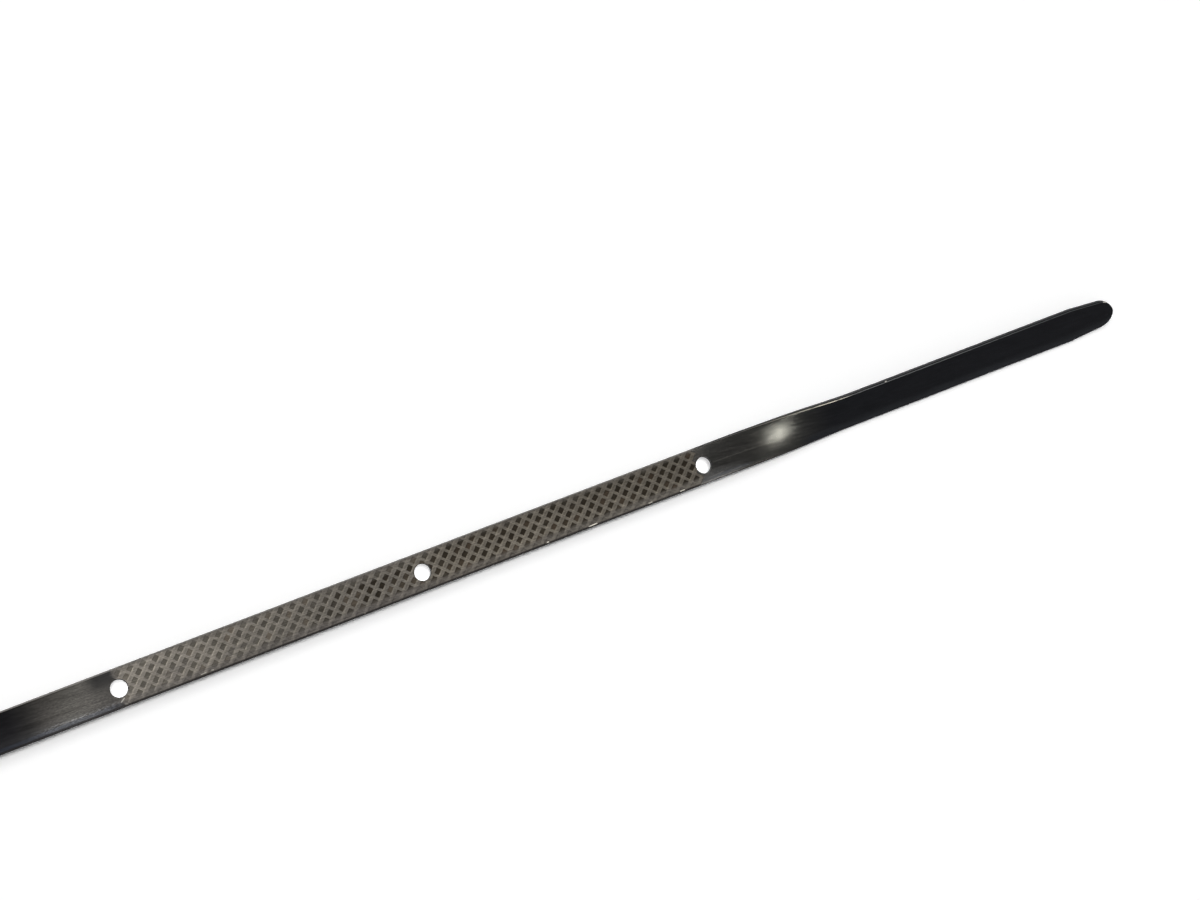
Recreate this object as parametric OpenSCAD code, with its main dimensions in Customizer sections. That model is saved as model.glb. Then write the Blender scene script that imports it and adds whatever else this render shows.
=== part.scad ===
// Engine oil dipstick: a twisted, punched and knurled strip-steel blade in a moulded handle.
// X runs along the stick towards its tip and Z is square to the blade's flat face.
// The origin is where the plug's axis meets the front face of the stop, the datum of the level marks.

/* [Blade] */
// Width of the strip
blade_w = 6.2; // [5:0.1:10]
// Thickness of the strip
blade_t = 0.9; // [0.6:0.05:1.4]
// Radius of the strip's rolled edges
edge_r = 0.3; // [0.1:0.05:0.3]
// Distance from the stop to the first level hole
first_hole = 118; // [60:1:400]
// Distance from one level hole to the next
hole_pitch = 50; // [12:0.5:70]
// Number of level holes
hole_count = 3; // [2:1:4]
// Diameter of the level holes
hole_d = 2.8; // [1.5:0.1:3.6]
// Distance from the last hole to the tip
tip_reach = 80.2; // [60:0.2:120]

/* [Knurl] */
// Distance between grooves, measured along the strip
knurl_pitch = 2.03; // [1.6:0.01:4]
// Width of the grooves that lean forward to the left
left_groove_w = 0.7; // [0.3:0.05:0.8]
// Width of the grooves that lean forward to the right
right_groove_w = 0.45; // [0.3:0.05:0.8]
// Depth of a groove
groove_depth = 0.09; // [0.04:0.01:0.15]
// Angle of the grooves to the strip
groove_angle = 45; // [35:1:55]
// Distance that the knurl starts ahead of the first hole's centre
knurl_lead = 0.4; // [0:0.1:2]
// Distance that the knurl stops short of the last hole's centre
knurl_inset = 0.9; // [0:0.1:3]

/* [Twist and tip] */
// Angle through which the tip end is twisted
twist_angle = 35; // [10:1:60]
// Length over which the twist runs
twist_len = 26; // [12:0.5:30]
// Distance from the last hole to the start of the twist
twist_gap = 3; // [3:0.5:12]
// Length of the tapered stretch in front of the nose
taper_len = 5.6; // [3:0.1:10]
// Distance by which each side tapers in
taper_in = 0.5; // [0.2:0.1:1.4]
// Length of the rounded nose
nose_len = 3.2; // [1.5:0.1:5]

/* [Plug and seals] */
// Diameter of the plug that enters the guide tube
plug_d = 7.5; // [7:0.1:12]
// Length of the plug in front of the stop
plug_len = 22; // [18:0.5:40]
// Length of the plug's tapered lead-in
lead_in = 3; // [1:0.5:5]
// Diameter of the lead-in at its end
lead_in_d = 6; // [5.6:0.1:6.6]
// Cord diameter of the sealing rings
seal_cord_d = 1.5; // [1:0.1:1.5]
// Height of the relaxed rings above the plug
seal_stand = 0.2; // [0.1:0.05:0.4]
// Distance from the stop to the first ring
seal_first = 6; // [3:0.5:8]
// Distance between the two rings
seal_pitch = 5.5; // [4:0.5:7]
// Free play of a ring in its groove, on each side
seal_play = 0.2; // [0.1:0.05:0.4]

/* [Stop and neck] */
// Diameter of the stop
stop_d = 15; // [13:0.5:24]
// Thickness of the stop
stop_t = 4; // [2:0.5:6]
// Height of the stop across its two flats
stop_h = 9; // [8.6:0.1:12]
// Width of the neck at its waist
waist_w = 9; // [8:0.5:12]
// Thickness of the neck
neck_t = 6; // [5:0.5:7]
// Length of the neck between the stop and the finger ring
neck_len = 11; // [9:0.5:20]
// Radius of the hollow in each side of the neck
waist_r = 8; // [7:0.5:14]
// Width of the rim round the neck's sunk panels
rim_w = 1.4; // [1:0.1:1.8]
// Depth of the neck's sunk panels
panel_depth = 1; // [0.5:0.1:1.4]

/* [Finger ring] */
// Inside diameter of the finger ring
ring_id = 20; // [18:0.5:30]
// Width of the ring's wall
ring_wall = 5; // [4:0.5:8]
// Thickness of the finger ring
ring_t = 7; // [6:0.5:9]
// Corner radius of the ring's wall
ring_edge_r = 2; // [1:0.25:2]

/* [Tang and pin] */
// Width of the blade's tang, which sits in the handle
tang_w = 4; // [3.4:0.1:4]
// Diameter of the retaining pin
pin_d = 1.6; // [1.2:0.1:2]
// Distance from the stop's back face to the pin
pin_setback = 5; // [4:0.5:6]
// Length of the tang behind the pin
tang_end = 4; // [2:0.5:5]
// Play of the tang in its slot, on each side
slot_play = 0.05; // [0.02:0.01:0.1]
// Play of the pin in its hole, on the radius
pin_play = 0.02; // [0.01:0.01:0.05]
// Diameter of the boss round the pin
boss_d = 4.4; // [3.6:0.2:5]

/* [Hidden] */

// Reach of a cut beyond the surface that it opens
over = 1;
// Points on each rounded corner of the strip's section
corner_steps = 3;
// Distance between sections along the twist
twist_step = 1;
// Sections round the nose, and the angle round it at which the last one stands
nose_steps = 10;
nose_end = 83;
// Facets of a large, a small and a fine round
round_fn = 96;
small_fn = 48;
fine_fn = 32;

last_hole = first_hole + (hole_count - 1) * hole_pitch;
tip_x = last_hole + tip_reach;
twist_x = last_hole + twist_gap;
twist_steps = round(twist_len / twist_step);
nose_x = tip_x - nose_len;
taper_x = nose_x - taper_len;
nose_w = blade_w - 2 * taper_in;
knurl_x = first_hole - knurl_lead;
knurl_end_x = last_hole - knurl_inset;
// Where the first groove of each set crosses the axis, from the start of the knurl
left_start = 1.8;
right_start = 0.2;
pin_x = -stop_t - pin_setback;
tang_x = pin_x - tang_end;
ring_od = ring_id + 2 * ring_wall;
ring_x = -stop_t - neck_len - ring_od / 2;
seal_outer_r = plug_d / 2 + seal_stand;
seal_mid_r = seal_outer_r - seal_cord_d / 2;
// Play under a relaxed ring, and the pin's chamfer
seal_lift = 0.05;
pin_chamfer = 0.2;
groove_bottom_r = seal_outer_r - seal_cord_d - seal_lift;

// Corner k of the strip's section, as an arc about its own centre
function corner(w, t, k) =
    let (r = min(edge_r, w / 3), sy = k == 0 || k == 3 ? 1 : -1, sz = k < 2 ? 1 : -1)
    [for (i = [0 : corner_steps])
        let (a = 90 * (k + i / corner_steps))
        [sy * (w / 2 - r) + r * cos(a), sz * (t / 2 - r) + r * sin(a)]];

// Section of the strip, width along Y and thickness along Z
function section(w) = [for (k = [0 : 3]) each corner(w, blade_t, k)];

// Twist of the strip at x, eased in and out
function twist_at(x) =
    let (u = min(1, max(0, (x - twist_x) / twist_len)))
    twist_angle * u * u * (3 - 2 * u);

// Width of the strip at x, with its straight taper and oval nose
function width_at(x) =
    x <= taper_x ? blade_w
    : x <= nose_x ? blade_w - 2 * taper_in * (x - taper_x) / taper_len
    : nose_w * sqrt(max(0, 1 - pow((x - nose_x) / nose_len, 2)));

// Places along the twisted end where its skin has a section
function stations() = concat(
    [for (i = [0 : twist_steps]) twist_x + i * twist_len / twist_steps],
    [taper_x, nose_x],
    [for (i = [1 : nose_steps]) nose_x + nose_len * sin(nose_end * i / nose_steps)]);

// Section of the strip in its place at x
function placed(x) =
    let (a = twist_at(x))
    [for (p = section(width_at(x))) [x, p[0] * cos(a) - p[1] * sin(a), p[0] * sin(a) + p[1] * cos(a)]];

// Skin through rings of n points each, closed at both ends
module skin(rings) {
    n = len(rings[0]);
    last = len(rings) - 1;
    polyhedron(
        points = [for (ring = rings) each ring],
        faces = concat(
            [[for (j = [0 : n - 1]) j]],
            [for (i = [0 : last - 1], j = [0 : n - 1])
                [i * n + j, (i + 1) * n + (j + 1) % n, i * n + (j + 1) % n]],
            [for (i = [0 : last - 1], j = [0 : n - 1])
                [i * n + j, (i + 1) * n + j, (i + 1) * n + (j + 1) % n]],
            [[for (j = [n - 1 : -1 : 0]) last * n + j]]),
        convexity = 4);
}

// Solid of revolution about the stick's axis, from x0 to x1
module turned(r, x0, x1, r_end = -1) {
    translate([x0, 0, 0])
        rotate([0, 90, 0])
            cylinder(h = x1 - x0, r1 = r, r2 = r_end < 0 ? r : r_end, $fn = round_fn);
}

// Straight stretch of the strip, of width w, from x0 to x1
module strip(w, x0, x1) {
    translate([x0, 0, 0])
        rotate([90, 0, 90])
            linear_extrude(x1 - x0)
                polygon(section(w));
}

// Hole square through the flat of the blade
module punched(x, d) {
    translate([x, 0, -over - blade_t])
        cylinder(h = 2 * (over + blade_t), d = d, $fn = small_fn);
}

// Groove of width w whose middle line crosses the blade's axis at x, kept within the knurl's two ends
module groove(x, side, w) {
    reach = (blade_w / 2 + w) / sin(groove_angle);
    from = max(-reach, (knurl_x - x) / cos(groove_angle));
    to = min(reach, (knurl_end_x - x) / cos(groove_angle));
    if (to - from > w)
        translate([x, 0, blade_t / 2 - groove_depth])
            rotate(side * groove_angle)
                translate([from, -w / 2, 0])
                    cube([to - from, w, groove_depth + over]);
}

// One set of parallel grooves, all leaning to the same side
module groove_set(start, side, w) {
    spread = blade_w / tan(groove_angle);
    for (x = [knurl_x + start - 2 * knurl_pitch : knurl_pitch : knurl_end_x + spread])
        groove(x, side, w);
}

module blade() {
    color("#2f2f30")
        difference() {
            difference() {
                union() {
                    strip(tang_w, tang_x, plug_len);
                    strip(blade_w, plug_len, twist_x);
                    skin([for (x = stations()) placed(x)]);
                }
                for (i = [0 : hole_count - 1])
                    punched(first_hole + i * hole_pitch, hole_d);
                punched(pin_x, pin_d + 2 * pin_play);
                groove_set(left_start, 1, left_groove_w);
            }
            groove_set(right_start, -1, right_groove_w);
        }
}

// Outline of the neck, drawn in by e on every side
module neck_outline(e = 0) {
    difference() {
        translate([-stop_t - neck_len - ring_wall / 2 + e, -stop_d / 2 + e])
            square([neck_len + ring_wall / 2 - 2 * e, stop_d - 2 * e]);
        for (side = [-1, 1])
            translate([pin_x, side * (waist_w / 2 + waist_r)])
                circle(r = waist_r + e, $fn = round_fn);
    }
}

// Section of the finger ring's wall, with its corners rounded
module ring_section() {
    flat_w = ring_wall - 2 * ring_edge_r;
    flat_t = ring_t - 2 * ring_edge_r;
    translate([ring_id / 2 + ring_wall / 2, 0]) {
        square([ring_wall, flat_t], center = true);
        square([flat_w, ring_t], center = true);
        for (sx = [-1, 1], sy = [-1, 1])
            translate([sx * flat_w / 2, sy * flat_t / 2])
                circle(r = ring_edge_r, $fn = fine_fn);
    }
}

// Neck with a sunk panel on each face and a boss round the pin
module neck() {
    difference() {
        translate([0, 0, -neck_t / 2])
            linear_extrude(neck_t)
                neck_outline();
        for (side = [0, 1])
            mirror([0, 0, side])
                translate([0, 0, neck_t / 2 - panel_depth])
                    linear_extrude(panel_depth + over)
                        difference() {
                            neck_outline(rim_w);
                            translate([pin_x, 0])
                                circle(d = boss_d, $fn = small_fn);
                        }
        translate([ring_x, 0, -neck_t])
            cylinder(h = 2 * neck_t, r = ring_id / 2 + ring_wall / 2, $fn = round_fn);
    }
}

// Round stop with a flat above and below
module stop() {
    intersection() {
        turned(stop_d / 2, -stop_t, 0);
        translate([-stop_t, -stop_d / 2, -stop_h / 2])
            cube([stop_t, stop_d, stop_h]);
    }
}

// Plug with a lead-in and two grooves for the sealing rings
module plug() {
    difference() {
        union() {
            turned(plug_d / 2, -stop_t / 2, plug_len - lead_in);
            turned(plug_d / 2, plug_len - lead_in, plug_len, lead_in_d / 2);
        }
        for (i = [0, 1])
            seal_groove(seal_first + i * seal_pitch);
    }
}

// Ring-shaped cut for a seal whose middle is at x
module seal_groove(x) {
    half_w = seal_cord_d / 2 + seal_play;
    difference() {
        turned(plug_d, x - half_w, x + half_w);
        turned(groove_bottom_r, x - half_w - over, x + half_w + over);
    }
}

module handle() {
    color("#e0a51c")
        difference() {
            union() {
                plug();
                stop();
                neck();
                translate([ring_x, 0, 0])
                    rotate_extrude($fn = round_fn)
                        ring_section();
            }
            translate([tang_x - slot_play, -tang_w / 2 - slot_play, -blade_t / 2 - slot_play])
                cube([plug_len - tang_x + over, tang_w + 2 * slot_play, blade_t + 2 * slot_play]);
            translate([pin_x, 0, -neck_t])
                cylinder(h = 2 * neck_t, r = pin_d / 2 + pin_play, $fn = small_fn);
        }
}

// Sealing ring whose middle is at x
module seal(x) {
    color("#17181a")
        translate([x, 0, 0])
            rotate([0, 90, 0])
                rotate_extrude($fn = round_fn)
                    translate([seal_mid_r, 0])
                        circle(d = seal_cord_d, $fn = fine_fn);
}

module rear_seal() {
    seal(seal_first);
}

module front_seal() {
    seal(seal_first + seal_pitch);
}

// Straight pin with chamfered ends, flush with the neck's faces
module retaining_pin() {
    color("#8d9094")
        translate([pin_x, 0, 0])
            for (side = [0, 1])
                mirror([0, 0, side]) {
                    cylinder(h = neck_t / 2 - pin_chamfer, d = pin_d, $fn = small_fn);
                    translate([0, 0, neck_t / 2 - pin_chamfer])
                        cylinder(h = pin_chamfer, r1 = pin_d / 2, r2 = pin_d / 2 - pin_chamfer, $fn = small_fn);
                }
}

blade();
handle();
rear_seal();
front_seal();
retaining_pin();
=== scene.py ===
"""Looks of an engine oil dipstick: a knurled, punched and twisted strip-steel blade in a moulded handle."""
import math
from types import SimpleNamespace

import bmesh
import bpy
import numpy as np
from mathutils import Matrix, Vector


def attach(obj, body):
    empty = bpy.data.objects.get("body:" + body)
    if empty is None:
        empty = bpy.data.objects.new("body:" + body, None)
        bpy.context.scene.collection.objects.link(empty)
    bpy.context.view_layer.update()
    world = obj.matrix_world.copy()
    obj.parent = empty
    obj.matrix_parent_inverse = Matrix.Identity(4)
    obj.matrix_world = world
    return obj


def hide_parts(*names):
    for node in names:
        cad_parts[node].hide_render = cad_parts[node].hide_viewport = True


MM = 0.001
ROOT2 = math.sqrt(2)

# ---------------------------------------------------------------- sizes, in mm, as the CAD has them
BLADE_W, BLADE_T = 6.2, 0.9
EDGE_R = 0.3
TANG_W, TANG_X, PLUG_LEN = 4.0, -13.0, 22.0
PIN_X, PIN_HOLE_R = -9.0, 0.82
HOLE_X = (118.0, 168.0, 218.0)
HOLE_R = 1.4
TIP_X = 298.17
NOSE_LEN, TAPER_LEN, TAPER_IN = 3.17, 5.6, 0.5
NOSE_X = TIP_X - NOSE_LEN
TAPER_X = NOSE_X - TAPER_LEN
KNURL = (118.0, 217.1)
PITCH = 2.03
GROOVE_DEPTH = 0.09
LEFT_GROOVE, RIGHT_GROOVE = 0.7, 0.46
LEFT_AT, RIGHT_AT = 119.4, 117.8
TWIST_X, TWIST_LEN, TWIST = 221.0, 26.0, math.radians(35.0)
TWIST_END = TWIST_X + TWIST_LEN
SET_Y = -0.25

# ---------------------------------------------------------------- how the photo's blade strays from these, in mm
# It lies SWAY to the north between its rise past the plug and its fall, and END_SWAY towards the tip
SWAY, SWAY_RISE, SWAY_FALL_X, SWAY_FALL = 0.05, 60.0, 185.0, 33.0
END_SWAY, END_SWAY_X, END_SWAY_RISE = 0.06, 250.0, 35.0
# Once the strip has turned, its north side is this much wider
WIDE_FROM, WIDE_TO, WIDER = 230.0, 237.0, 0.085
# How far the level holes' walls stand inside the nominal radius, and how far each hole is off its place
HOLE_IN = 0.04
HOLE_OFF = ((0.04, -0.05), (0.06, -0.05), (0.08, -0.1))
# The nose's outline on its north and south sides: 2 is an ellipse, less is flatter
NORTH_NOSE, SOUTH_NOSE = 1.8, 2.25

# ---------------------------------------------------------------- the blade's mesh
CORNER_STEPS, COLUMNS = 6, 12
TWIST_STEPS, RUN_STEPS, TAPER_STEPS, NOSE_STEPS = 110, 11, 7, 24
# degrees of the nose's quarter turn that are meshed
NOSE_REACH = 88.5
# what the cutters stand above or past the strip
PROUD = 1.0
HOLE_SIDES, RIM_STEPS, RIM_ROLL, RIM_FLARE = 64, 5, 0.03, 0.02
# Grooves to try on the pitch. Those with nothing in the knurled stretch, or less than the shortest, are left out
GROOVE_NUMBERS, SHORTEST_GROOVE = range(-3, 54), 0.3
# Half of a groove's section, from its upper corner to its floor: out from its edge, and up from the face
GROOVE_WALL = ((0.6, 0.72), (0.05, 0.0), (-0.05, 0.02 - GROOVE_DEPTH), (-0.12, -GROOVE_DEPTH))
# Distances from the middle at which a groove begins to run out to the south, and at which it is gone
GROOVE_DEEP_TO, GROOVE_GONE_AT = 2.2, 2.95
SMOOTH_ANGLE = 32.0
# For the strip's map: how far before the tip the width is last read, the least half width, and its scale
MAP_STOP, MAP_LEAST, UV_PER_MM = 0.05, 0.3, 0.01

# ---------------------------------------------------------------- camera, floor and light, in m
# The camera that was fitted to the photo: which way its right, up and back point, and its place
CAMERA_AXES = ((0.8996774, -0.3558928, 0.2528258), (0.3379204, 0.9343887, 0.1128163),
               (-0.2763881, -0.0160633, 0.9609119))
CAMERA_AT = (0.101303, 0.002307, 0.351960)
SENSOR, LENS = 36.0, 67.682
CLIP = (0.01, 50.0)

# The floor passes under the two places that the dipstick rests on, given as (x, z) in mm
REST = ((0.0, -4.5), (289.4, -2.16))
FLOOR_TILT = math.atan2(REST[1][1] - REST[0][1], REST[1][0] - REST[0][0])
FLOOR_HALF = 6.0
FLOOR_COLOUR, FLOOR_SEEN = 0.8, 1.23
BACKDROP_FROM, BACKDROP_TO = 0.5, 1.3

DOME = 0.19
# name, direction, distance, width, height, power, x that it is aimed at, colour
SOFT_LAMPS = (("key", (-0.06, 0.105, 0.99), 4.0, 1.0, 0.73, 84.0, 0.16, (1, 1, 1)),
              ("side", (-0.1, 0.42, 0.9), 4.0, 1.67, 1.33, 25.0, 0.16, (1, 1, 1)))
# the same, seen only in gloss; they are round
GLOSS_LAMPS = (("spark", (0.300, -0.448, 0.838), 1.0, 0.04, None, 3.5, 0.233, (1, 0.985, 0.9)),
               ("edge", (0.30, 0.20, 0.93), 1.0, 0.08, None, 0.2, 0.238, (1, 1, 1)))
BEAM_POWER, BEAM_ANGLE, BEAM_BLEND, BEAM_SIZE, BEAM_DISTANCE = 1.6, math.radians(1.0), 0.5, 0.001, 0.3


def ease(u):
    u = min(1.0, max(0.0, u))
    return u * u * (3 - 2 * u)


# ---------------------------------------------------------------- node trees
class Tree:
    """Short calls for one material's nodes."""

    def __init__(self, name):
        self.mat = bpy.data.materials.new(name)
        self.mat.use_nodes = True
        self.nodes, self.links = self.mat.node_tree.nodes, self.mat.node_tree.links
        self.nodes.clear()
        self.out = self.nodes.new("ShaderNodeOutputMaterial")

    def put(self, socket, value):
        if isinstance(value, bpy.types.NodeSocket):
            self.links.new(value, socket)
        elif value is not None:
            socket.default_value = value

    def node(self, kind, ins=None, **props):
        n = self.nodes.new("ShaderNode" + kind)
        for k, v in props.items():
            setattr(n, k, v)
        for k, v in (ins or {}).items():
            self.put(n.inputs[k], v)
        return n

    def surface(self, shader):
        """The finished material, with this shader node as its surface."""
        self.put(self.out.inputs["Surface"], shader.outputs[0])
        return self.mat

    def math(self, op, a, b=None, c=None, clamp=False):
        n = self.node("Math", operation=op, use_clamp=clamp)
        for i, v in enumerate((a, b, c)):
            self.put(n.inputs[i], v)
        return n.outputs[0]

    def add(self, a, b):
        return self.math("ADD", a, b)

    def sub(self, a, b):
        return self.math("SUBTRACT", a, b)

    def mul(self, first, *rest):
        for other in rest:
            first = self.math("MULTIPLY", first, other)
        return first

    def most(self, a, b):
        return self.math("MAXIMUM", a, b)

    def abs(self, a):
        return self.math("ABSOLUTE", a)

    def step(self, x, lo, hi, out_lo=0.0, out_hi=1.0, kind="SMOOTHSTEP"):
        """Smooth step of x from lo to hi; lo may be above hi."""
        ins = {"Value": x, "From Min": lo, "From Max": hi, "To Min": out_lo, "To Max": out_hi}
        return self.node("MapRange", ins, interpolation_type=kind).outputs[0]

    def lerp(self, x, lo, hi, out_lo=0.0, out_hi=1.0):
        return self.step(x, lo, hi, out_lo, out_hi, "LINEAR")

    def mix(self, fac, a, b, how="MIX"):
        """Colours a and b mixed."""
        n = self.node("Mix", data_type="RGBA", blend_type=how)
        self.put(n.inputs[0], fac)
        self.put(n.inputs[6], a)
        self.put(n.inputs[7], b)
        return n.outputs[2]

    def times(self, a, b, fac=1.0):
        """Colour a multiplied by colour b, as far as fac says."""
        return self.mix(fac, a, b, "MULTIPLY")

    def vec(self, x, y, z=0.0):
        n = self.node("CombineXYZ")
        for i, v in enumerate((x, y, z)):
            self.put(n.inputs[i], v)
        return n.outputs[0]

    def noise(self, vector, scale=1.0, detail=2.0, rough=0.5):
        ins = {"Vector": vector, "Scale": scale, "Detail": detail, "Roughness": rough}
        return self.node("TexNoise", ins, noise_dimensions="3D").outputs["Fac"]

    def place(self):
        """The point on a piece in its object's frame, in m, as a vector and as x, y and z."""
        pos = self.node("TexCoord").outputs["Object"]
        return pos, *self.node("SeparateXYZ", {0: pos}).outputs

    def stroke(self, x, v, a, b, half, soft=0.03):
        """1 on a short straight mark from a to b on the flat."""
        dx, dv = b[0] - a[0], b[1] - a[1]
        size = math.hypot(dx, dv)
        dx, dv = dx / size, dv / size
        px, pv = self.sub(x, a[0]), self.sub(v, a[1])
        along = self.math("MULTIPLY_ADD", px, dx, self.mul(pv, dv))
        across = self.abs(self.math("MULTIPLY_ADD", px, dv, self.mul(pv, -dx)))
        ends = self.mul(self.step(along, -soft, soft), self.step(along, size + soft, size - soft))
        return self.mul(self.step(across, half + soft, half), ends)

    def tone(self, x, stops):
        """Colour that changes along x through the given (x, colour) stops."""
        lo, hi = stops[0][0], stops[-1][0]
        ramp = self.node("ValToRGB", {"Fac": self.lerp(x, lo, hi)})
        e = ramp.color_ramp.elements
        while len(e) < len(stops):
            e.new(0.5)
        for i, (at, c) in enumerate(stops):
            e[i].position = (at - lo) / (hi - lo)
            e[i].color = grey(*c)
        return ramp.outputs[0]

    def bump(self, height, distance, strength=1.0, normal=None):
        ins = {"Height": height, "Distance": distance, "Strength": strength, "Normal": normal}
        return self.node("Bump", ins).outputs["Normal"]


def grey(r, g=None, b=None):
    """Colour with alpha; one number is a neutral grey."""
    return (r, r if g is None else g, r if b is None else b, 1.0)


# ---------------------------------------------------------------- camera, floor, light
def add_object(name, data):
    o = bpy.data.objects.new(name, data)
    bpy.context.scene.collection.objects.link(o)
    return o


def make_camera():
    data = bpy.data.cameras.new("camera")
    data.sensor_fit, data.sensor_width, data.lens = "HORIZONTAL", SENSOR, LENS
    data.clip_start, data.clip_end = CLIP
    cam = add_object("camera", data)
    m = Matrix.Identity(4)
    for i, column in enumerate((*CAMERA_AXES, CAMERA_AT)):
        for k in range(3):
            m[k][i] = column[k]
    cam.matrix_world = m
    bpy.context.scene.camera = cam


def make_floor():
    me = bpy.data.meshes.new("floor")
    s = FLOOR_HALF
    me.from_pydata([(-s, -s, 0), (s, -s, 0), (s, s, 0), (-s, s, 0)], [], [(0, 1, 2, 3)])
    o = add_object("floor", me)
    o.rotation_euler = (0, -FLOOR_TILT, 0)
    o.location = (0, 0, REST[0][1] * MM)
    t = Tree("floor")
    rays = t.node("LightPath").outputs
    seen = t.math("ADD", rays["Is Camera Ray"], rays["Is Glossy Ray"], clamp=True)
    seen = t.math("ADD", seen, rays["Is Transmission Ray"], clamp=True)
    near = t.node("BsdfDiffuse", {"Color": t.mix(seen, grey(FLOOR_COLOUR), grey(FLOOR_SEEN))})
    # beyond the reach of the lamps the floor is seen as the white backdrop
    far = t.node("Emission", {"Color": grey(1), "Strength": 1.0})
    pos = t.node("TexCoord").outputs["Object"]
    r = t.node("VectorMath", {0: pos}, operation="LENGTH").outputs["Value"]
    fade = t.mul(seen, t.step(r, BACKDROP_FROM, BACKDROP_TO))
    me.materials.append(t.surface(t.node("MixShader", {0: fade, 1: near.outputs[0], 2: far.outputs[0]})))


def make_world():
    """White where it is seen, also in gloss, and a faint dome for the light that it gives."""
    world = bpy.data.worlds.new("world")
    bpy.context.scene.world = world
    world.use_nodes = True
    nodes, links = world.node_tree.nodes, world.node_tree.links
    nodes.clear()
    rays = nodes.new("ShaderNodeLightPath").outputs
    seen = rays["Is Camera Ray"]
    for ray in ("Is Glossy Ray", "Is Transmission Ray"):
        n = nodes.new("ShaderNodeMath")
        n.operation, n.use_clamp = "ADD", True
        links.new(seen, n.inputs[0])
        links.new(rays[ray], n.inputs[1])
        seen = n.outputs[0]
    mix = nodes.new("ShaderNodeMixShader")
    links.new(seen, mix.inputs[0])
    for i, strength in ((1, DOME), (2, 1.0)):
        n = nodes.new("ShaderNodeBackground")
        n.inputs["Color"].default_value = grey(1)
        n.inputs["Strength"].default_value = strength
        links.new(n.outputs[0], mix.inputs[i])
    links.new(mix.outputs[0], nodes.new("ShaderNodeOutputWorld").inputs[0])


def aim(o, foot, direction, distance):
    """Puts a lamp at this distance from its foot, and turns it to the foot."""
    o.location = foot + direction * distance
    o.rotation_mode = "QUATERNION"
    o.rotation_quaternion = (-direction).to_track_quat("-Z", "Y")


def make_lamps(lamps, shines):
    for name, direction, distance, width, height, power, x, colour in lamps:
        data = bpy.data.lights.new(name, "AREA")
        data.shape, data.size = "RECTANGLE" if height else "DISK", width
        if height:
            data.size_y = height
        data.energy, data.color = power, colour
        o = add_object(name, data)
        aim(o, Vector((x, 0, 0)), Vector(direction).normalized(), distance)
        o.visible_camera, o.visible_glossy, o.visible_diffuse = False, shines, not shines


def make_beams():
    """One narrow beam through each level hole, so that the floor seen through it isn't in the blade's shadow."""
    for k, x in enumerate(HOLE_X):
        data = bpy.data.lights.new("beam_%d" % k, "SPOT")
        data.energy, data.spot_size, data.spot_blend = BEAM_POWER, BEAM_ANGLE, BEAM_BLEND
        data.shadow_soft_size = BEAM_SIZE
        o = add_object("beam_%d" % k, data)
        foot = Vector((x * MM, 0, 0))
        aim(o, foot, (Vector(CAMERA_AT) - foot).normalized(), BEAM_DISTANCE)
        o.visible_camera = o.visible_glossy = False


# ---------------------------------------------------------------- the strip
def width_at(x):
    if x <= TAPER_X:
        return BLADE_W
    if x <= NOSE_X:
        return BLADE_W - 2 * TAPER_IN * (x - TAPER_X) / TAPER_LEN
    return (BLADE_W - 2 * TAPER_IN) * math.sqrt(max(0.0, 1 - ((x - NOSE_X) / NOSE_LEN) ** 2))


def nose_half(x, power):
    """Half width of the nose where its outline has this power."""
    u = min(1.0, max(0.0, (x - NOSE_X) / NOSE_LEN))
    return (BLADE_W / 2 - TAPER_IN) * max(0.0, 1 - u ** power) ** (1 / power)


def wider(x):
    return WIDER * ease((x - WIDE_FROM) / (WIDE_TO - WIDE_FROM))


def sway(x):
    middle = SWAY * ease((x - PLUG_LEN) / SWAY_RISE) * (1 - ease((x - SWAY_FALL_X) / SWAY_FALL))
    return middle + END_SWAY * ease((x - END_SWAY_X) / END_SWAY_RISE)


def section(north, south=None):
    """Points round the strip's section, (across, up), anticlockwise seen from the tip, for its halves' widths."""
    south = north if south is None else south
    # less of a radius where the strip is too narrow for both corners
    r = min(EDGE_R, (north + south) / 2.2)
    top = BLADE_T / 2
    left, right = r - south, north - r
    pts = []
    for k, (sy, sz) in enumerate(((1, 1), (-1, 1), (-1, -1), (1, -1))):
        half = north if sy > 0 else south
        for i in range(CORNER_STEPS + 1):
            a = math.radians(90 * (k + i / CORNER_STEPS))
            pts.append((sy * (half - r) + r * math.cos(a), sz * (top - r) + r * math.sin(a)))
        if sy == sz:
            # columns across the flat, so that a twisted flat is curved the way it should be
            start, end = (right, left) if sz > 0 else (left, right)
            pts += [(start + (end - start) * i / COLUMNS, sz * top) for i in range(1, COLUMNS)]
    return pts


def place(x, v, w):
    """Where a point of the untwisted strip comes to lie."""
    e = ease((x - TWIST_X) / TWIST_LEN)
    a = TWIST * e
    return (x, v * math.cos(a) - w * math.sin(a) + SET_Y * e + sway(x), v * math.sin(a) + w * math.cos(a))


def tube(rings):
    """Closed mesh data through rings of as many points each."""
    n = len(rings[0])
    verts = [p for ring in rings for p in ring]
    faces = [(i * n + j, i * n + (j + 1) % n, (i + 1) * n + (j + 1) % n, (i + 1) * n + j)
             for i in range(len(rings) - 1) for j in range(n)]
    last = (len(rings) - 1) * n
    return verts, faces + [tuple(range(n))[::-1], tuple(last + j for j in range(n))]


def mesh_of(name, verts, faces):
    me = bpy.data.meshes.new(name)
    me.from_pydata([(x * MM, y * MM, z * MM) for x, y, z in verts], [], faces)
    bm = bmesh.new()
    bm.from_mesh(me)
    bmesh.ops.recalc_face_normals(bm, faces=bm.faces)
    bm.to_mesh(me)
    bm.free()
    return me


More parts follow.
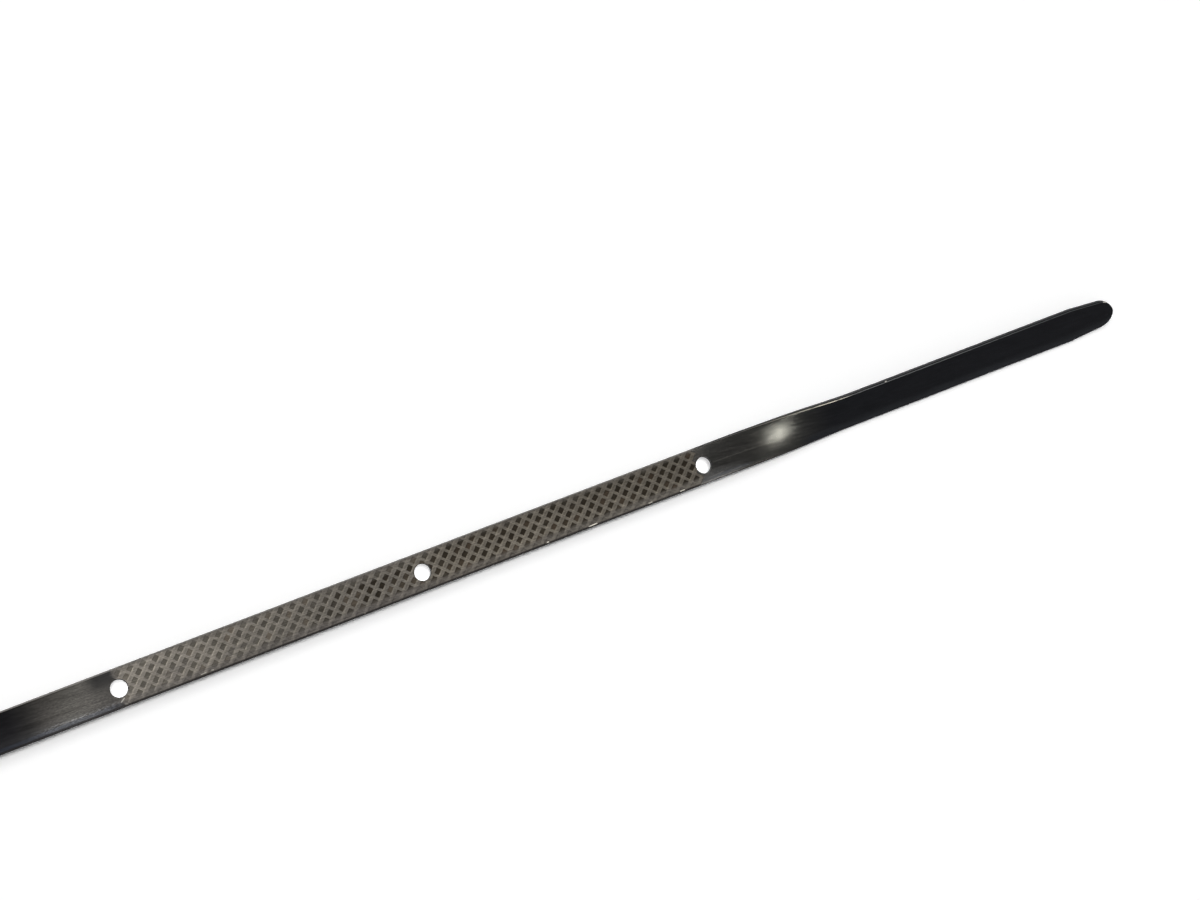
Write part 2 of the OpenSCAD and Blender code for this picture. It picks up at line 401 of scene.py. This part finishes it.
def strip_mesh():
    """The strip from its tang to its nose, before anything is cut into it."""
    stations = [(x, TANG_W / 2, TANG_W / 2) for x in (TANG_X, PLUG_LEN)]
    stations += [(x, BLADE_W / 2, BLADE_W / 2) for x in (PLUG_LEN, KNURL[0] - 2, SWAY_FALL_X, KNURL[1] + 1, TWIST_X)]
    turned = [TWIST_X + TWIST_LEN * i / TWIST_STEPS for i in range(1, TWIST_STEPS + 1)]
    turned += [*np.linspace(TWIST_END, TAPER_X, RUN_STEPS + 1)[1:], *np.linspace(TAPER_X, NOSE_X, TAPER_STEPS + 1)[1:]]
    stations += [(x, width_at(x) / 2 + wider(x), width_at(x) / 2) for x in turned]
    north_gain = 1 + WIDER / nose_half(NOSE_X, NORTH_NOSE)
    for i in range(1, NOSE_STEPS + 1):
        x = NOSE_X + NOSE_LEN * math.sin(math.radians(NOSE_REACH * i / NOSE_STEPS))
        stations.append((x, nose_half(x, NORTH_NOSE) * north_gain, nose_half(x, SOUTH_NOSE)))
    return mesh_of("strip", *tube([[place(x, *p) for p in section(north, south)] for x, north, south in stations]))


# ---------------------------------------------------------------- what is cut into it
def hole_cutter(x, y, r):
    """Punch for one hole, which leaves the rim at the top rolled in a little."""
    top = BLADE_T / 2
    profile = [(r, -top - PROUD), (r, top - RIM_ROLL)]
    for a in np.linspace(0, math.pi / 2, RIM_STEPS + 1)[1:]:
        profile.append((r + RIM_ROLL * (1 - math.cos(a)), top - RIM_ROLL + RIM_ROLL * math.sin(a)))
    profile.append((r + RIM_ROLL + RIM_FLARE, top + PROUD))
    turns = [2 * math.pi * j / HOLE_SIDES for j in range(HOLE_SIDES)]
    return tube([[(x + q * math.cos(a), y + q * math.sin(a), z) for a in turns] for q, z in profile])


def groove_cutter(x, side, w, x0, x1):
    """Prism with sloped walls whose middle line crosses the axis at x and leans to one side."""
    c = math.cos(math.radians(45))
    along = Vector((c, side * c))
    across = Vector((-along.y, along.x))
    reach = (BLADE_W / 2 + PROUD) / c
    lo, hi = max(-reach, (x0 - x) / c), min(reach, (x1 - x) / c)
    if hi - lo < SHORTEST_GROOVE:
        return None
    wall = [(w / 2 + out, BLADE_T / 2 + up) for out, up in GROOVE_WALL]
    prof = [(-q, z) for q, z in wall] + wall[::-1]
    # towards the south edge the groove runs out, rubbed away
    gone, deep = GROOVE_GONE_AT / c, GROOVE_DEEP_TO / c
    stations = [(lo, 0), (hi, 0)]
    if side > 0:
        if lo < -gone < -deep < hi:
            stations = [(-gone, GROOVE_DEPTH), (-deep, 0), (hi, 0)]
        elif lo < -deep < hi:
            stations = [(lo, GROOVE_DEPTH * (-deep - lo) / (gone - deep)), (-deep, 0), (hi, 0)]
    else:
        if hi > gone > deep > lo:
            stations = [(lo, 0), (deep, 0), (gone, GROOVE_DEPTH)]
        elif hi > deep > lo:
            stations = [(lo, 0), (deep, 0), (hi, GROOVE_DEPTH * (hi - deep) / (gone - deep))]
    rings = []
    for s, lift in stations:
        base = Vector((x, 0)) + along * s
        rings.append([(base.x + across.x * q, base.y + across.y * q, z + lift) for q, z in prof])
    return tube(rings)


def joined(parts):
    verts, faces = [], []
    for v, f in parts:
        k = len(verts)
        verts += v
        faces += [tuple(i + k for i in face) for face in f]
    return verts, faces


def cut(me, name, parts):
    """The mesh less the closed parts, none of which cross each other."""
    a = add_object("cut_a", me)
    b = add_object("cut_b", mesh_of(name, *joined(parts)))
    m = a.modifiers.new("cut", "BOOLEAN")
    m.operation, m.solver, m.object = "DIFFERENCE", "MANIFOLD", b
    dg = bpy.context.evaluated_depsgraph_get()
    done = bpy.data.meshes.new_from_object(a.evaluated_get(dg))
    for o in (a, b):
        bpy.data.objects.remove(o)
    return done


def strip_coordinates(me):
    """Gives each vertex its place along, across and up the untwisted strip, in mm from the first hole, and a UV map."""
    co = np.zeros(len(me.vertices) * 3, np.float32)
    me.vertices.foreach_get("co", co)
    x, y, z = (co.reshape(-1, 3) / MM).T
    u = np.clip((x - TWIST_X) / TWIST_LEN, 0, 1)
    e = u * u * (3 - 2 * u)
    a = TWIST * e
    y = y - SET_Y * e - np.array([sway(q) for q in x])
    v, w = y * np.cos(a) + z * np.sin(a), -y * np.sin(a) + z * np.cos(a)
    # across runs from edge to edge as on the full width, also where the strip is wider or narrower
    v = np.where(v > 0, v * BLADE_W / 2 / (BLADE_W / 2 + np.array([wider(q) for q in x])), v)
    half = np.array([max(width_at(min(q, TIP_X - MAP_STOP)) / 2, MAP_LEAST) for q in x])
    v = np.where(x > TAPER_X, v * BLADE_W / 2 / half, v)
    at = np.stack([x - HOLE_X[0], v, w], 1).astype(np.float32)
    me.attributes.new("along", "FLOAT_VECTOR", "POINT").data.foreach_set("vector", at.ravel())
    corner = np.zeros(len(me.loops), np.int32)
    me.loops.foreach_get("vertex_index", corner)
    uv = np.stack([at[:, 0], at[:, 1] + at[:, 2]], 1)[corner] * UV_PER_MM
    me.uv_layers.new(name="strip_map").uv.foreach_set("vector", uv.astype(np.float32).ravel())


def make_blade(mat):
    holes = [hole_cutter(x + dx, dy, HOLE_R - HOLE_IN) for x, (dx, dy) in zip(HOLE_X, HOLE_OFF)]
    me = cut(strip_mesh(), "holes", holes + [hole_cutter(PIN_X, 0.0, PIN_HOLE_R)])
    for side, w, at in ((1, LEFT_GROOVE, LEFT_AT), (-1, RIGHT_GROOVE, RIGHT_AT)):
        parts = [groove_cutter(at + k * PITCH, side, w, *KNURL) for k in GROOVE_NUMBERS]
        me = cut(me, "grooves", [p for p in parts if p])
    strip_coordinates(me)
    me.shade_smooth()
    me.set_sharp_from_angle(angle=math.radians(SMOOTH_ANGLE))
    me.materials.clear()
    me.materials.append(mat)
    me.polygons.foreach_set("material_index", np.zeros(len(me.polygons), np.int32))
    o = add_object("blade_steel_strip", me)
    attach(o, "root")
    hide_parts("blade")


# ---------------------------------------------------------------- the blade's steel
# Distances are in mm from the first hole: x along the strip, v across it with its south edge at -3.1, w up.

# Cells of the knurl: a pad with half of each groove beside it. Those whose middle lies in this stretch are cut
CELLS = (0.45, 98.3)
HALF_STEP = PITCH / ROOT2
LEFT_FROM, RIGHT_FROM = (LEFT_AT - HOLE_X[0]) / ROOT2, (RIGHT_AT - HOLE_X[0]) / ROOT2
# How soft a groove's edge is, to each side, and how many half steps before the first the count begins
GROOVE_SOFT, GROOVES_BEFORE = 0.05, 40
# Where the holes' dark walls are centred, about the mean of HOLE_OFF
HOLE_MIDDLE = (0.06, -0.06)

# Colours along x: steel without knurl; from 124 on, past the twist, the darker tone is painted shade
PLAIN = ((-97, (0.034, 0.033, 0.032)), (-70, (0.05, 0.048, 0.046)), (-45, (0.04, 0.0385, 0.037)),
         (-22, (0.0135, 0.013, 0.0145)), (-17, (0.0135, 0.013, 0.0145)), (-14, (0.026, 0.025, 0.0245)),
         (-11, (0.072, 0.068, 0.064)), (-7.5, (0.108, 0.104, 0.096)), (-4.5, (0.112, 0.107, 0.1)),
         (-2, (0.085, 0.081, 0.077)), (1, (0.09, 0.085, 0.08)), (98, (0.06, 0.057, 0.053)),
         (101.6, (0.0265, 0.026, 0.0245)), (105, (0.0235, 0.023, 0.0215)), (117, (0.0205, 0.0205, 0.0195)),
         (124, (0.0088, 0.0092, 0.0106)), (181, (0.0085, 0.0088, 0.0102)))
# How bright the knurl is
KNURL_GAIN = ((-1, (1.0,) * 3), (8, (0.86,) * 3), (20, (0.69,) * 3), (32, (0.55,) * 3), (44, (0.47,) * 3),
              (52, (0.6,) * 3), (70, (0.57,) * 3), (82, (0.48,) * 3), (97, (0.43,) * 3))
# Knurl that is rubbed away
WORN = ((0, (0.108, 0.1, 0.094)), (10, (0.098, 0.09, 0.085)), (20, (0.086, 0.079, 0.074)),
        (42, (0.086, 0.078, 0.074)), (60, (0.078, 0.071, 0.065)), (92, (0.085, 0.078, 0.071)))
# The north side face past the last hole, and the painted highlight along its upper corner
NORTH_FACE = ((98, (0.1, 0.098, 0.094)), (128, (0.06, 0.06, 0.061)), (134, (0.05, 0.051, 0.053)),
              (145, (0.05, 0.051, 0.053)), (182, (0.036, 0.037, 0.039)))
CORNER_HIGHLIGHT = ((98, (0.1, 0.098, 0.094)), (111, (0.1, 0.097, 0.09)), (115, (0.15, 0.142, 0.125)),
               (119, (0.2, 0.187, 0.163)), (125, (0.31, 0.29, 0.252)), (128.5, (0.06, 0.061, 0.064)),
               (135, (0.064, 0.066, 0.07)), (145, (0.056, 0.058, 0.061)), (155, (0.048, 0.049, 0.052)),
               (165, (0.042, 0.043, 0.046)), (182, (0.038, 0.04, 0.043)))
# Scratches, nicks and rubbed spots: both ends, half width, brightness, strength
MARKS = (((101.7, -0.19), (112.4, -0.38), 0.025, 0.09, 0.45), ((-0.42, -2.2), (0.33, -1.7), 0.06, 0.42, 0.85),
         ((0.05, -2.62), (0.5, -2.75), 0.05, 0.25, 0.6), ((134.6, 2.99), (134.9, 2.99), 0.06, 0.38, 0.8),
         ((94.6, -2.76), (95.5, -2.74), 0.04, 0.4, 0.9), ((88.9, -2.74), (89.6, -2.72), 0.04, 0.34, 0.8),
         ((78.1, -2.79), (79.6, -2.76), 0.05, 0.5, 0.9), ((70.6, -2.78), (71.0, -2.78), 0.05, 0.45, 0.9),
         ((12.2, -2.6), (13.1, -2.56), 0.04, 0.34, 0.8), ((13.9, -2.5), (14.3, -2.62), 0.05, 0.34, 0.8),
         ((104.2, -2.55), (106.2, -2.5), 0.03, 0.14, 0.7), ((99.9, -2.4), (102.9, -2.2), 0.035, 0.16, 0.6),
         ((178.2, 2.9), (178.9, 2.9), 0.07, 0.45, 0.9))


def strip_patterns(t):
    """The place on the strip, the noises drawn out along it, and where the knurl's second stretch begins."""
    x, v, w = t.node("SeparateXYZ", {0: t.node("Attribute", attribute_name="along").outputs["Vector"]}).outputs
    slanted = t.math("MULTIPLY_ADD", x, 0.07, v)
    return SimpleNamespace(
        x=x, v=v, w=w, second=t.step(x, 46, 56),
        wobble=t.mul(t.sub(t.noise(t.vec(x, v), 1.4, 3.0), 0.5), 0.26),
        streak=t.noise(t.vec(t.mul(x, 0.045), t.mul(v, 7.0), t.mul(w, 7.0)), 1.0, 3.0, 0.65),
        fine=t.noise(t.vec(t.mul(x, 0.3), t.add(t.mul(v, 13.0), t.mul(x, 0.9)), t.mul(w, 13.0)), 1.0, 3.0, 0.7),
        glint=t.noise(t.vec(t.mul(x, 0.9), t.mul(slanted, 7.0), 5.0), 1.0, 3.0, 0.7),
        hair=t.noise(t.vec(t.mul(x, 0.22), t.mul(slanted, 3.2), t.mul(w, 3.2)), 1.0, 3.0, 0.62),
        cloud=t.noise(t.vec(t.mul(x, 0.16), t.mul(v, 0.5), 0.0), 1.0, 3.0, 0.6),
        speck=t.noise(t.vec(t.mul(x, 2.2), t.mul(v, 5.5), 9.0), 1.0, 2.0, 0.6))


def plain_colour(t, s):
    """Steel without knurl, stained before the first hole and past the last, and darker past the twist, which is painted
    shade.
    """
    x, v = s.x, s.v
    colour = t.tone(x, PLAIN)
    # rubbed south half beside the last hole
    south = t.mul(t.step(v, -0.9, -2.9), t.step(x, 109, 101), t.step(x, 90, 97))
    colour = t.mix(t.mul(south, 0.65), colour, t.mix(0.5, colour, grey(0.17, 0.17, 0.172)))
    # specks in the pale stretch before the first hole
    rubbed = t.mul(t.step(x, -16, -11), t.step(x, 1.5, 0))
    colour = t.times(colour, t.mix(t.lerp(s.speck, 0.3, 0.7), grey(0.74), grey(1.28, 1.26, 1.22)), rubbed)
    # the same stretch: darker to the north, paler to the south, bluish at the very edge
    left = t.step(x, -4, -8)
    colour = t.times(colour, t.mix(t.mul(left, t.lerp(v, 0, 2.2)), grey(1), grey(0.75)))
    paler = t.mul(left, t.step(v, -0.6, -1.9), t.step(x, -19, -9, 0.35, 1.0))
    colour = t.mix(paler, colour, grey(0.026), "ADD")
    bluish = t.mul(t.step(v, -2.0, -2.3), t.step(x, 0.5, -1))
    colour = t.times(colour, grey(0.72, 0.75, 0.83), bluish)
    # dark patch to the north of the first hole
    patch = t.mul(t.step(x, -5.6, -2.6), t.step(x, 2, 0), t.step(t.add(v, t.mul(t.sub(s.hair, 0.5), 3)), -0.4, 2.2))
    colour = t.mix(patch, colour, grey(0.038, 0.037, 0.036))
    # paler bevel along the south edge, off the knurl
    bevel = t.mul(t.step(v, -2.15, -2.35), t.step(v, -2.85, -2.7), t.add(t.step(x, -1, -3), t.step(x, 99, 101)))
    colour = t.mix(t.mul(bevel, t.step(x, 109, 106)), colour, grey(0.012, 0.014, 0.018), "ADD")
    # bluish sparkle near the south edge, before the first hole
    sparkle = t.mul(t.mul(t.step(v, -1.5, -2.1), t.step(v, -2.75, -2.5)), t.mul(t.step(x, -17, -10), t.step(x, 0, -2)))
    colour = t.mix(t.mul(sparkle, t.step(s.speck, 0.42, 0.66)), colour, grey(0.06, 0.064, 0.074), "ADD")
    # paler south half past the twist
    low = t.mul(t.step(v, -1.2, -2.3), t.step(x, 117, 121))
    return t.mix(low, colour, grey(0.0155, 0.0165, 0.0185))


def knurl(t, s):
    """Colour of the knurled stretch and a mask of where it is cut."""
    x, v, second = s.x, s.v, s.second
    p = t.add(t.mul(t.sub(x, v), 1 / ROOT2), s.wobble)
    q = t.sub(t.mul(t.add(x, v), 1 / ROOT2), s.wobble)

    def groove(a, at, half):
        """1 in the grooves that run square to a, and the distance from their middle."""
        d = t.math("PINGPONG", t.sub(a, at - GROOVES_BEFORE * HALF_STEP), HALF_STEP / 2)
        return t.step(d, half + GROOVE_SOFT, half - GROOVE_SOFT), d

    def cell(a, at):
        return t.math("FLOOR", t.mul(t.sub(a, at), 1 / HALF_STEP))

    def inside(shift, limit, how):
        """1 where the middle of the cell that the point belongs to is on the right side of the limit."""
        i, j = cell(t.sub(p, shift), LEFT_FROM), cell(t.sub(q, shift * 0.7), RIGHT_FROM)
        middle = t.add(t.mul(t.add(i, j), HALF_STEP / ROOT2), (HALF_STEP + LEFT_FROM + RIGHT_FROM) / ROOT2)
        return t.math(how, middle, limit)

    left, left_d = groove(p, LEFT_FROM, LEFT_GROOVE / 2)
    right, right_d = groove(q, RIGHT_FROM, RIGHT_GROOVE / 2)
    zone = t.mul(inside(0.33, CELLS[1], "LESS_THAN"), inside(-0.33, CELLS[0], "GREATER_THAN"))
    zone = t.mul(zone, t.step(t.add(x, s.wobble), -0.8, 0.7))

    # the middle rows are darker and clearer from some way before the second hole
    middle = t.mul(t.step(x, 27, 40), t.step(t.abs(v), 2.2, 1.3))
    # where it is rubbed away: along both edges, in clouds and at its start
    drift = t.sub(s.cloud, 0.5)
    worn = t.step(t.add(v, t.mul(drift, 1.3)), -1.5, -2.25)
    worn = t.most(worn, t.mul(t.step(t.add(v, t.mul(drift, 0.6)), 2.2, 2.8), 0.8))
    clouds = t.mul(t.lerp(second, 0, 1, 0.6, 0.35), t.lerp(middle, 0, 1, 1.0, 0.25))
    worn = t.most(worn, t.mul(t.step(s.cloud, 0.52, 0.66), clouds))
    worn = t.most(worn, t.step(x, 2.6, -0.5, 0, 0.6))

    # pads, each with its own tone
    number = t.vec(cell(p, LEFT_FROM), cell(q, RIGHT_FROM), 3.0)
    own = t.node("TexWhiteNoise", {"Vector": number}, noise_dimensions="3D").outputs["Value"]
    pad = t.mix(second, grey(0.085, 0.078, 0.067), grey(0.036, 0.031, 0.024))
    pad = t.mix(t.mul(middle, 0.95), pad, grey(0.033, 0.027, 0.02))
    brown = t.mix(second, grey(0.098, 0.082, 0.066), grey(0.056, 0.042, 0.031))
    pad = t.mix(t.mul(t.step(own, 0.72, 0.95), 0.7), pad, brown)
    pad = t.times(pad, t.mix(own, grey(0.82), grey(1.2)))

    # grooves: drawn lines, a dark line in the middle, bright crossings, and bright rims that are a painted highlight
    band = t.mix(second, grey(0.164, 0.15, 0.134), grey(0.142, 0.127, 0.108))
    drawn = t.noise(t.vec(t.mul(p, 11.0), t.mul(q, 1.2)), 1.0, 2.0)
    band = t.times(band, t.mix(drawn, grey(0.8), grey(1.2)))
    dark_line = t.mul(t.step(left_d, 0.09, 0.02), left)
    band = t.mix(t.mul(dark_line, 0.3), band, pad)
    # painted highlight along the grooves' rims
    rim = t.most(t.step(t.abs(t.sub(left_d, LEFT_GROOVE / 2 - 0.02)), 0.12, 0.03),
                 t.step(t.abs(t.sub(right_d, RIGHT_GROOVE / 2 - 0.02)), 0.1, 0.03))
    band = t.mix(t.mul(rim, 0.4), band, t.mix(second, grey(0.22, 0.2, 0.17), grey(0.2, 0.18, 0.148)))
    band = t.mix(t.mul(t.mul(left, right), 0.22), band, grey(0.22, 0.2, 0.18))

    colour = t.mix(t.most(left, right), pad, band)
    across = t.mix(t.lerp(v, -2, 2.2), t.mix(second, grey(1.2), grey(1.28)), t.mix(second, grey(1.22), grey(1.0)))
    colour = t.times(colour, t.times(t.tone(x, KNURL_GAIN), across))
    colour = t.mix(t.mul(worn, 0.95), colour, t.mix(0.2, t.tone(x, WORN), colour))
    return colour, t.mul(zone, t.step(s.w, 0.32, 0.36))


def brushed(t, s, colour):
    """Streaks and clouds over everything."""
    for pattern, low, high in ((s.streak, 0.62, 1.38), (s.fine, 0.78, 1.22), (t.lerp(s.glint, 0.25, 0.75), 0.74, 1.26),
                               (t.lerp(s.hair, 0.25, 0.75), 0.72, 1.28)):
        colour = t.times(colour, t.mix(pattern, grey(low), grey(high)))
    return colour


def edges(t, s, colour):
    """The lines along the strip's corners, which are painted shade and painted highlights, and its north side face."""
    x, v, w = s.x, s.v, s.w
    chips = t.noise(t.vec(t.mul(x, 0.45), 3.0), 1.0, 2.0, 0.6)
    # painted shade along the south corner, with bright nicks in it, and a painted highlight along the north corner
    nick = t.mul(t.step(chips, 0.66, 0.7), t.step(v, -2.98, -2.9))
    dark = t.mul(t.step(v, -2.68, -2.8), t.step(x, 101, 97))
    colour = t.mix(t.mul(dark, 0.8), colour, t.mix(nick, grey(0.022, 0.021, 0.021), grey(0.34, 0.32, 0.28)))
    # painted highlight along the north corner
    light = t.mul(t.step(v, 2.82, 2.92), t.step(x, 101, 98))
    colour = t.mix(t.mul(light, 0.7), colour, grey(0.27, 0.26, 0.245))
    # past the last hole the side face is seen, with a painted highlight along its upper corner
    past = t.step(x, 99, 103)
    side = t.mul(t.step(v, 2.95, 3.03), t.step(w, 0.33, 0.25), past)
    colour = t.mix(side, colour, t.tone(x, NORTH_FACE))
    corner = t.add(t.sub(v, BLADE_W / 2 - EDGE_R), t.sub(BLADE_T / 2, w))
    line = t.mul(t.step(corner, 0.02, 0.07), t.step(corner, 0.24, 0.17), past)
    line = t.mul(line, t.step(chips, 0.3, 0.5, 0.45, 1.0))
    return t.mix(line, colour, t.tone(x, CORNER_HIGHLIGHT))


def hole_walls(t, s):
    """1 on the punched walls of the level holes."""
    nearest = None
    for hx in HOLE_X:
        middle = (hx - HOLE_X[0] + HOLE_MIDDLE[0], HOLE_MIDDLE[1], 0.0)
        d = t.node("VectorMath", {0: t.vec(s.x, s.v, 0.0), 1: middle}, operation="DISTANCE").outputs["Value"]
        nearest = d if nearest is None else t.math("MINIMUM", nearest, d)
    return t.mul(t.step(nearest, HOLE_R + 0.04, HOLE_R + 0.01), t.step(s.w, BLADE_T / 2, BLADE_T / 2 - 0.015))


def blade_steel():
    """Dark brushed strip steel with a knurl, rubbed and stained as in the photo, with painted shade and painted
    highlights.
    """
    t = Tree("blade_steel")
    s = strip_patterns(t)
    knurl_colour, cut_zone = knurl(t, s)
    colour = edges(t, s, brushed(t, s, t.mix(cut_zone, plain_colour(t, s), knurl_colour)))
    # the punched walls are dull and dark
    walls = hole_walls(t, s)
    colour = t.mix(t.mul(walls, 0.85), colour, grey(0.012))
    for a, b, half, bright, share in MARKS:
        on_mark = t.mul(t.stroke(s.x, s.v, a, b, half), share)
        colour = t.mix(on_mark, colour, grey(bright, bright * 0.96, bright * 0.88))
    # the knurl, the rounded corners and the walls are rougher
    rough = t.add(t.lerp(s.streak, 0.2, 0.8, 0.168, 0.218), t.mul(cut_zone, 0.3))
    rough = t.add(rough, t.mul(t.most(t.step(t.abs(s.v), 2.78, 2.88), walls), 0.3))
    height = t.add(t.add(t.mul(s.streak, 0.004), t.mul(s.glint, 0.011)), t.mul(s.hair, 0.016))
    tangent = t.node("Tangent", direction_type="UV_MAP", uv_map="strip_map").outputs[0]
    return t.surface(t.node("BsdfPrincipled", {
        "Base Color": colour, "Metallic": 1.0, "Roughness": rough, "Anisotropic": 0.35,
        "Anisotropic Rotation": 0.25, "Normal": t.bump(height, 0.001), "Tangent": tangent}))


# ---------------------------------------------------------------- the other materials, whose distances are in m
def handle_plastic():
    """Satin nylon: moulded grain, faint flow marks, the mould's parting line, worn edges and an oily plug."""
    t = Tree("handle_plastic")
    pos, x, y, z = t.place()
    flow = t.noise(t.vec(t.mul(x, 60.0), t.mul(y, 240.0), t.mul(z, 240.0)), 1.0, 3.0, 0.55)
    grain = t.noise(pos, 2600.0, 2.0)
    grime = t.noise(pos, 190.0, 4.0, 0.65)
    plug = t.step(x, -0.0005, 0.0008)
    # edges, where the rounded normal leaves the face's own
    rounded = t.node("Bevel", {"Radius": 0.0005}, samples=6).outputs[0]
    own_normal = t.node("NewGeometry").outputs["Normal"]
    level = t.node("VectorMath", {0: rounded, 1: own_normal}, operation="DOT_PRODUCT").outputs["Value"]
    edge = t.mul(t.step(level, 0.99, 0.86), t.step(grime, 0.3, 0.6, 0.35, 1.0))
    # recesses, darkened: painted shade, made patchy with grime
    near = t.node("AmbientOcclusion", {"Distance": 0.0025}, samples=8).outputs["AO"]
    recess_shade_and_grime = t.mul(t.step(near, 0.75, 0.3), t.step(grime, 0.35, 0.6, 0.3, 1.0))
    parting = t.step(t.abs(z), 0.00011, 0.00003)
    colour = t.mix(flow, grey(0.735, 0.43, 0.024), grey(0.82, 0.505, 0.037))
    colour = t.mix(t.mul(t.step(grime, 0.54, 0.72), 0.4), colour, grey(0.42, 0.24, 0.03))
    # painted shade in the recesses, patchy with grime
    colour = t.mix(t.mul(recess_shade_and_grime, 0.7), colour, grey(0.2, 0.11, 0.018))
    colour = t.mix(t.mul(edge, 0.4), colour, grey(0.9, 0.64, 0.14))
    colour = t.mix(t.mul(plug, 0.35), colour, grey(0.56, 0.32, 0.02))
    colour = t.mix(t.mul(parting, 0.2), colour, grey(0.5, 0.29, 0.015))
    rough = t.add(t.add(t.lerp(grime, 0.3, 0.7, 0.34, 0.5), t.mul(plug, -0.14)), t.mul(edge, 0.12))
    height = t.add(t.add(t.mul(grain, 0.35), t.mul(flow, 0.5)), t.mul(parting, 0.8))
    return t.surface(t.node("BsdfPrincipled", {
        "Base Color": colour, "Roughness": rough, "IOR": 1.53, "Normal": t.bump(height, 0.00004, 0.55, rounded)}))


def seal_rubber():
    """Nitrile rubber with an oil film and a little dust."""
    t = Tree("seal_rubber")
    pos = t.node("TexCoord").outputs["Object"]
    dust, fine = t.noise(pos, 420.0, 4.0, 0.7), t.noise(pos, 5200.0, 2.0)
    colour = t.mix(t.step(dust, 0.5, 0.8), grey(0.0105, 0.0105, 0.011), grey(0.034, 0.031, 0.027))
    return t.surface(t.node("BsdfPrincipled", {
        "Base Color": colour, "Roughness": t.lerp(dust, 0.3, 0.7, 0.3, 0.55), "IOR": 1.52,
        "Normal": t.bump(fine, 0.00001, 0.5)}))


def pin_steel():
    """Bright drawn wire, faintly grooved along its length, with cropped ends."""
    t = Tree("pin_steel")
    pos, x, y, z = t.place()
    drawn = t.noise(t.vec(t.mul(x, 6000.0), t.mul(y, 6000.0), t.mul(z, 350.0)), 1.0, 3.0, 0.6)
    spots = t.noise(pos, 1500.0, 3.0, 0.6)
    colour = t.mix(drawn, grey(0.36, 0.355, 0.35), grey(0.5, 0.5, 0.5))
    colour = t.mix(t.mul(t.step(spots, 0.58, 0.7), 0.5), colour, grey(0.2, 0.16, 0.12))
    return t.surface(t.node("BsdfPrincipled", {
        "Base Color": colour, "Metallic": 1.0, "Roughness": t.lerp(drawn, 0.2, 0.8, 0.25, 0.42),
        "Normal": t.bump(drawn, 0.00001, 0.6)}))


# ---------------------------------------------------------------- the scene
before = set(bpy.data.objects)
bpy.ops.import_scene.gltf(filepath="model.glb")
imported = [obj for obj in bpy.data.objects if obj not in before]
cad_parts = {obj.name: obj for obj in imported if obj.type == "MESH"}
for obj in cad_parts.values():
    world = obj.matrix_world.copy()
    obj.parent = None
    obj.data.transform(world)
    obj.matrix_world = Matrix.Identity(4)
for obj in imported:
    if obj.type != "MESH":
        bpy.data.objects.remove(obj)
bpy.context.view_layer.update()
make_camera()
make_floor()
make_world()
make_lamps(SOFT_LAMPS, shines=False)
make_beams()
make_lamps(GLOSS_LAMPS, shines=True)
make_blade(blade_steel())
# the other pieces keep the CAD's meshes
rubber = seal_rubber()
for node, mat in (("handle", handle_plastic()), ("rear_seal", rubber), ("front_seal", rubber),
                  ("retaining_pin", pin_steel())):
    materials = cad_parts[node].data.materials
    materials.clear()
    materials.append(mat)

bpy.context.scene.view_settings.view_transform = "Standard"
